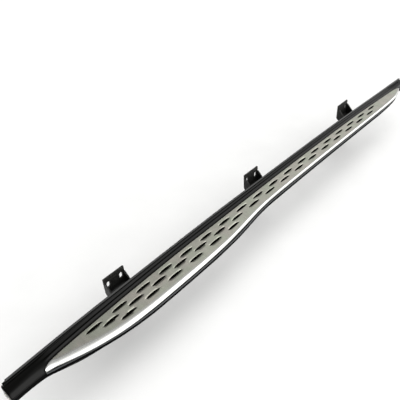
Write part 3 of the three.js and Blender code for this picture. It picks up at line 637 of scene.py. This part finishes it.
def soften(piece, width, angle):
    """Small round, width in millimetres, on every edge sharper than the angle."""
    bevel = piece.modifiers.new("soften", "BEVEL")
    bevel.width = width * MM
    bevel.segments = 2
    bevel.limit_method = "ANGLE"
    bevel.angle_limit = math.radians(angle)
    bevel.use_clamp_overlap = True
    bevel.harden_normals = False


def finish_piece(piece, node):
    """Attaches a finished piece to the root body and hides the CAD node that it stands in for."""
    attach(piece, "root")
    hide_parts(node)


# ---------------------------------------------------------------- tread plate


def plate_ring(x):
    """Flat top from the inner corner outwards, rolled outer edge, underside."""
    start = bevel_start(x)
    inner = plate_inner_edge(x)
    width = start - plate_outer_edge(x)
    band = start + min(POLISH_FADE, TIP_BAND_SHARE * (inner - start))
    corner_side = [Vector((inner + y, z)) for y, z in PLATE_CORNER_SIDE]
    corner_top = [Vector((inner + y, z)) for y, z in PLATE_CORNER_TOP]
    flat = [Vector((mix(inner, band, (i + 1) / FLAT_STEPS), 0)) for i in range(FLAT_STEPS)]
    top, under = [], []
    for i in range(BEVEL_STEPS + 1):
        angle = math.pi / 2 * i / BEVEL_STEPS
        top.append(Vector((start - width * math.sin(angle), BEVEL_DROP * (math.cos(angle) - 1))))
        reach = (width - PLATE_THICKNESS) * math.sin(angle)
        under_height = (BEVEL_DROP - PLATE_THICKNESS) * math.cos(angle) - BEVEL_DROP
        under.append(Vector((start - reach, under_height)))
    return corner_top + flat + top + under[::-1] + corner_side


def opening_cutter():
    """Upright oval prisms, one through every opening."""
    verts, faces = [], []
    for x, y in opening_places():
        outline = oval_outline(x, y, OPENING_LENGTH, OPENING_WIDTH)
        base, count = len(verts), len(outline)
        for reach in (-CUTTER_REACH, CUTTER_REACH):
            verts += [to_row(px, py, crown(x) + reach) for px, py in outline]
        faces.append(tuple(range(base + count - 1, base - 1, -1)))
        faces.append(tuple(range(base + count, base + 2 * count)))
        faces += walls_between(base, count, 2)
    return add_object("opening_cutter", verts, faces, MATERIALS["satin_aluminium"])


def mark_polish(plate):
    """Writes the "polish" attribute: 0 on the satin flat, 1 from the rolled edge outwards."""
    polish = plate.data.attributes.new("polish", "FLOAT", "POINT")
    for i, vertex in enumerate(plate.data.vertices):
        y = vertex.co.y / MM + BRACKET_FACE
        past_start = bevel_start(vertex.co.x / MM) - y
        polish.data[i].value = smooth_step(past_start, -POLISH_FADE, POLISH_FULL)


def add_tread_plate():
    plate = loft(
        "tread_plate_skin", stations(PLATE_REAR_TIP, PLATE_FRONT_TIP, TIP_STRETCHES), plate_ring,
        MATERIALS["satin_aluminium"], smooth_angle=60,
    )
    carve(plate, opening_cutter())
    soften(plate, OPENING_ROUND, angle=50)
    apply_modifiers(plate)
    mark_polish(plate)
    shade_smooth(plate, 50)
    finish_piece(plate, "tread_plate")


# ---------------------------------------------------------------- rubber mat


def mat_sheet_ring(x):
    """Flat strip just below the plate."""
    upper = -PLATE_THICKNESS - GAP
    lower = upper - MAT_THICKNESS
    outer, inner = bevel_start(x) + MAT_MARGIN, plate_inner_edge(x) - MAT_MARGIN
    edge = 0.4
    return rounded([
        (outer, lower, edge), (inner, lower, edge), (inner, upper, edge), (outer, upper, edge),
    ], 2)


def add_pads():
    """The domed pads that fill the openings, as one mesh."""
    length = OPENING_LENGTH - 2 * PAD_CLEARANCE
    width = OPENING_WIDTH - 2 * PAD_CLEARANCE
    rings = len(PAD_PROFILE)
    verts, faces = [], []
    for x, y in opening_places():
        base = len(verts)
        for inset, depth in PAD_PROFILE:
            outline = oval_outline(x, y, length - 2 * PAD_END_TAPER * inset, width - 2 * inset)
            verts += [to_row(px, py, crown(px) + PAD_RISE - depth) for px, py in outline]
        faces += walls_between(base, OVAL_POINTS, rings)
        last = base + (rings - 1) * OVAL_POINTS
        faces.append(tuple(range(last, last + OVAL_POINTS)))
        faces.append(tuple(range(base + OVAL_POINTS - 1, base - 1, -1)))
    return add_object("rubber_mat_pads", verts, faces, MATERIALS["mat_rubber"])


def add_rubber_mat():
    pads = add_pads()
    sheet = loft("rubber_mat_sheet", stations(*MAT_ENDS), mat_sheet_ring, MATERIALS["mat_rubber"])
    for piece in (pads, sheet):
        finish_piece(piece, "rubber_mat")


# ---------------------------------------------------------------- upper shell


def shoulder_height(x, y):
    """Height of the tail's round shoulder, a quarter ellipse between the side and the flat top."""
    reach = (tail_shoulder(x) - y) / (tail_shoulder(x) - body_side(x))
    return -TAIL_SHOULDER_DROP * (1 - math.sqrt(max(0, 1 - reach**2)))


def shoulder_corners(x):
    """Side of the shell up to the deck: straight below the plate, round in the tails."""
    recessed = is_recessed(x)
    side = body_side(x) + (TRIM_THICKNESS + 2 * GAP if recessed else 0)
    inner = max(bevel_start(x), side) + DECK_INSET if recessed else shoulder_split(x)
    corners = []
    for step in SHOULDER_STEPS:
        t = step**2
        y = mix(side, inner, t)
        corners.append((y, mix(SHOULDER, DECK_TOP, t) if recessed else shoulder_height(x, y), 0))
    return corners


def rib_corners(x, foot, relief):
    """Outboard slope of the rib, which turns into the round shoulder in the tails."""
    crest = mix(tail_shoulder(x), inner_groove(x) - RIB_CREST_OFFSET, relief)
    lowest = DECK_TOP + RIB_CLEARANCE if is_recessed(x) else -TAIL_SHOULDER_DROP
    corners = []
    for step in SHOULDER_STEPS:
        t = mix(step**2, step, relief)
        y = mix(foot, crest, t)
        rib_height = mix(RIB_FOOT, RIB_TOP, smooth_step(t, *RIB_RAMP))
        tail_height = max(lowest, shoulder_height(x, y))
        corners.append((y, mix(tail_height, rib_height, relief), 0))
    return corners


def shell_outline(x):
    """Corners of the upper shell's section as (y, z, radius)."""
    relief = relief_at(x)
    shoulder = shoulder_corners(x)
    side = shoulder[0][0]
    deck_edge, deck, _ = shoulder[-1]
    recessed = is_recessed(x)
    rib = plate_inner_edge(x) + RIB_GAP if recessed else deck_edge + TAIL_RIB_GAP
    foot = rib - FOOT_EDGE
    foot_height = deck if recessed else shoulder_height(x, foot)
    groove, lip = inner_groove(x), inner_lip(x)
    back = lip + LIP_THICKNESS
    strip_height = STRIP_RISE * relief
    rib_underside = SHELL_UNDERSIDE - TAIL_EXTRA_DEPTH * (1 - relief)
    deck_underside = min(deck - SHELL_THICKNESS, rib_underside - UNDERSIDE_STEP)
    outer_wall, inner_wall = side + SHELL_THICKNESS, back - SHELL_THICKNESS
    return [
        (side, SHELL_BOTTOM, 0.3),
        *shoulder,
        (foot, foot_height, 0),
        *rib_corners(x, rib, relief),
        (groove - 0.5, 0, 1.5),
        (groove + GROOVE_OFFSET, -GROOVE_DEPTH * relief, 0.8),
        (lip - 0.6, strip_height, 0.3),
        (lip, strip_height + 0.6, 0.1),
        (lip, LIP_TOP, 0.4),
        (back, LIP_TOP, 0.4),
        (back, SHELL_BOTTOM, 0.3),
        (inner_wall, SHELL_BOTTOM, 0.3),
        (inner_wall, SHELL_UNDERSIDE, 1.5),
        (rib + SHELL_THICKNESS, rib_underside, 0.3),
        (rib + SHELL_THICKNESS, deck_underside, 0.3),
        (max(deck_edge, side) + 1.2, deck_underside, 0.5),
        (outer_wall, -TAIL_SHOULDER_DROP - 1, 0.5),
        (outer_wall, SHELL_BOTTOM, 0.3),
    ]


def shell_ring(x):
    return rounded(shell_outline(x), SHELL_ARC_STEPS)


def add_upper_shell():
    """The satin shell. Its upright side, below the shoulder, has the rougher grain."""
    shell = loft(
        "upper_shell_skin", stations(-BODY_END, BODY_END, BODY_STRETCHES), shell_ring,
        MATERIALS["satin_plastic"], smooth_angle=35, weighted=False,
    )
    shell.data.materials.append(MATERIALS["rough_plastic"])
    points_per_ring = len(shell_ring(0))
    for i, face in enumerate(shell.data.polygons):
        if len(face.vertices) == 4 and i % points_per_ring < SIDE_FACES:
            face.material_index = 1
    finish_piece(shell, "upper_shell")


# ---------------------------------------------------------------- trim strip and seal


def trim_base_ring(x):
    """Black strip behind the bead, against the shell's side."""
    face = body_side(x)
    back, bottom = face + TRIM_THICKNESS, SHELL_BOTTOM + 0.6
    return rounded([
        (face + 1.8, TRIM_TOP, 0.5), (face + 1.8, BEAD_TOP, 0.3), (face + 1.4, BEAD_BOTTOM, 0.3),
        (face + 0.8, bottom, 0.8), (back, bottom, 0.4), (back, TRIM_TOP, 0.4),
    ], 3)


def trim_bead_ring(x):
    """Bead that stands proud of the strip; its grey colour is partly painted sheen, standing in for the
    pale reflected line along the trim.
    """
    face = body_side(x)
    return rounded([
        (face + 2, BEAD_TOP + 0.3, 0.3), (face + 0.2, BEAD_TOP + 0.3, 2),
        (face - 0.2, BEAD_BOTTOM - 0.1, 1.4), (face + 2, BEAD_BOTTOM - 0.3, 0.3),
    ], 6)


def add_trim_strip():
    """Set-back black strip with a bead along its middle, whose grey colour is partly painted sheen."""
    places = stations(PLATE_REAR_TIP, PLATE_FRONT_TIP, TIP_STRETCHES)
    base = loft("outer_trim_strip_base", places, trim_base_ring, MATERIALS["rough_plastic"])
    bead = loft("outer_trim_strip_bead", places, trim_bead_ring, MATERIALS["grey_trim"])
    for piece in (base, bead):
        finish_piece(piece, "outer_trim_strip")


def seal_ring(x):
    """Channel that clips over the lip, with a soft bulge on top."""
    front = inner_lip(x) - GAP
    back = inner_lip(x) + LIP_THICKNESS + GAP
    over_lip = LIP_TOP + GAP
    return rounded([
        (front - 0.9, SEAL_FOOT, 0.4), (front - 0.9, 8.4, 0.6), (front + 1.8, 10.7, 2),
        (back + 0.9, 11, 1.6), (back + 1, SEAL_BACK_FOOT, 0.4), (back, SEAL_BACK_FOOT, 0.3),
        (back, over_lip, 0.3), (front, over_lip, 0.3), (front, SEAL_FOOT, 0.3),
    ], 4)


def add_lip_seal():
    seal = loft("lip_seal_skin", stations(-SEAL_END, SEAL_END), seal_ring, MATERIALS["seal_rubber"])
    finish_piece(seal, "lip_seal")


# ---------------------------------------------------------------- lower cover and end caps


def cover_ring(x):
    """Open tray: up one wall, over its edge and back along the inside."""
    rim = body_side(x) + 0.6
    top = COVER_TOP + crown(x)
    outer = cover_bottom_outer(x)
    wall = inner_lip(x) + LIP_THICKNESS
    floor = COVER_BOTTOM + COVER_THICKNESS
    inside_wall = wall - COVER_THICKNESS
    inside_rim = rim + COVER_THICKNESS + 0.6
    return rounded([
        (rim, top, 0.5), (rim, top - 3, 5), (outer, COVER_BOTTOM, 10), (wall - 7, COVER_BOTTOM, 4),
        (wall, COVER_BOTTOM + 7, 4), (wall, top, 0.4), (inside_wall, top, 0.4),
        (inside_wall, COVER_BOTTOM + 8, 3), (wall - 8, floor, 3), (outer + 1.2, floor, 6),
        (inside_rim, top - 4, 3), (inside_rim, top, 0.4),
    ], 5)


def add_lower_cover():
    """Underside tray with a window around every bracket's pad."""
    cover = loft(
        "lower_cover_skin", stations(-BODY_END, BODY_END, BODY_STRETCHES), cover_ring,
        MATERIALS["rough_plastic"], lift=level, smooth_angle=35,
    )
    bottom, top = WINDOW_HEIGHTS
    for x in BRACKET_PLACES:
        low = (x - WINDOW_LENGTH / 2, RAIL_CENTRE - WINDOW_WIDTH / 2, bottom)
        high = (x + WINDOW_LENGTH / 2, RAIL_CENTRE + WINDOW_WIDTH / 2, top)
        carve(cover, add_box("window_cutter", low, high, MATERIALS["rough_plastic"]))
    soften(cover, 0.5, angle=60)
    apply_modifiers(cover)
    shade_smooth(cover, 35)
    finish_piece(cover, "lower_cover")


def cap_outline(end, inset):
    """Outline of the body at one end, drawn in by the inset."""
    lift = crown(end)
    face, inner = body_side(end), tail_shoulder(end)
    arc = []
    for step in SHOULDER_STEPS:
        height = shoulder_height(end, mix(face, inner, step**2))
        arc.append((mix(face + inset, inner, step**2), height + lift - inset, 0))
    lip = inner_lip(end)
    wall = lip + LIP_THICKNESS - inset
    bottom = COVER_BOTTOM + inset
    return rounded([
        *arc, (lip - 2, lift - inset, 3), (wall, 3 + lift - inset, 1.5),
        (wall, COVER_BOTTOM + 7, 4), (wall - 7, bottom, 4),
        (cover_bottom_outer(end), bottom, 10), (face + inset, COVER_TOP - 3 + lift, 5),
    ], 5)


def add_end_cap(node, side):
    """Blunt end: follows the body's outline and rounds over towards the outside."""
    end = side * BODY_END
    insets = {side * (BODY_END + reach): inset for reach, inset in CAP_PROFILE}
    cap = loft(
        node + "_skin", sorted(insets), lambda x: cap_outline(end, insets[x]),
        MATERIALS["satin_plastic"], lift=level, smooth_angle=50,
    )
    finish_piece(cap, node)


# ---------------------------------------------------------------- CAD nodes that keep their shape


def dress_cad_nodes():
    """Gives every CAD node its slot's material, and rounds the edges of the metal and rubber ones."""
    slots = {part["node"]: part["material_slot"] for part in frame["record"]["subparts"]}
    for name, node in frame["nodes"].items():
        node.data.materials.clear()
        node.data.materials.append(MATERIALS[slots[name]])
        if slots[name] in ROUNDED_SLOTS:
            soften(node, BRACKET_ROUND if "bracket" in name else FASTENER_ROUND, angle=40)


# ---------------------------------------------------------------- studio


def look_rotation(forward, up):
    back = -forward.normalized()
    right = up.cross(back).normalized()
    return Matrix((right, back.cross(right), back)).transposed().to_4x4()


def add_camera():
    """Standing eye beside the rear end of the board, looking down and forwards."""
    heading = math.radians(CAMERA_HEADING)
    pitch = math.radians(CAMERA_PITCH)
    roll = math.radians(CAMERA_ROLL)
    ahead = Vector((math.sin(heading), math.cos(heading), 0))
    forward = ahead * math.cos(pitch) - Vector((0, 0, math.sin(pitch)))
    right = Vector((math.cos(heading), -math.sin(heading), 0))
    up = right.cross(forward)
    tilted_up = up * math.cos(roll) - right * math.sin(roll)
    camera = bpy.data.objects.new("camera", bpy.data.cameras.new("camera"))
    camera.data.sensor_width = CAMERA_SENSOR
    camera.data.lens = CAMERA_LENS
    place = Matrix.Translation(to_row(*CAMERA_PLACE))
    camera.matrix_world = place @ look_rotation(forward, tilted_up)
    bpy.context.scene.collection.objects.link(camera)
    bpy.context.scene.camera = camera


def soft_sky():
    """Studio surround: brightest high on the outboard side, dark low on the vehicle side."""
    world = bpy.data.worlds.new("studio")
    world.use_nodes = True
    nodes, links = world.node_tree.nodes, world.node_tree.links
    direction = nodes.new("ShaderNodeTexCoord")
    towards = nodes.new("ShaderNodeVectorMath")
    towards.operation = "DOT_PRODUCT"
    towards.inputs[1].default_value = SKY_CENTRE
    ramp = nodes.new("ShaderNodeValToRGB")
    ramp.color_ramp.interpolation = "EASE"
    while len(ramp.color_ramp.elements) < len(SKY_STEPS):
        ramp.color_ramp.elements.new(0.5)
    for element, (cosine, brightness) in zip(ramp.color_ramp.elements, SKY_STEPS):
        element.position = (cosine + 1) / 2
        element.color = (brightness, brightness, brightness * SKY_BLUE_SHARE, 1)
    halved = nodes.new("ShaderNodeMapRange")
    halved.inputs["From Min"].default_value = -1
    background = nodes["Background"]
    links.new(direction.outputs["Generated"], towards.inputs[0])
    links.new(towards.outputs["Value"], halved.inputs["Value"])
    links.new(halved.outputs["Result"], ramp.inputs["Fac"])
    links.new(ramp.outputs["Color"], background.inputs["Color"])
    background.inputs["Strength"].default_value = SKY_STRENGTH
    return world


def add_floor():
    floor_height = cad_bounds[0].z - FLOOR_CLEARANCE
    bpy.ops.mesh.primitive_plane_add(size=FLOOR_SIZE, location=(0, 0, floor_height))
    floor = bpy.context.object
    floor.name = "studio_floor"
    material, shader = new_material("pale_floor", FLOOR_PALE, 0.8, Specular_IOR_Level=0.1)
    mottle = spread(material, noise(material, scale=6, detail=4), 0, 1)
    tone = blend_colours(material, mottle, FLOOR_PALE, FLOOR_SHADED)
    material.node_tree.links.new(tone, shader.inputs["Base Color"])
    floor.data.materials.append(material)


add_tread_plate()
add_rubber_mat()
add_upper_shell()
add_trim_strip()
add_lip_seal()
add_lower_cover()
add_end_cap("rear_end_cap", -1)
add_end_cap("front_end_cap", 1)
dress_cad_nodes()
add_camera()
add_floor()
bpy.context.scene.world = soft_sky()
bpy.context.scene.view_settings.view_transform = "Standard"
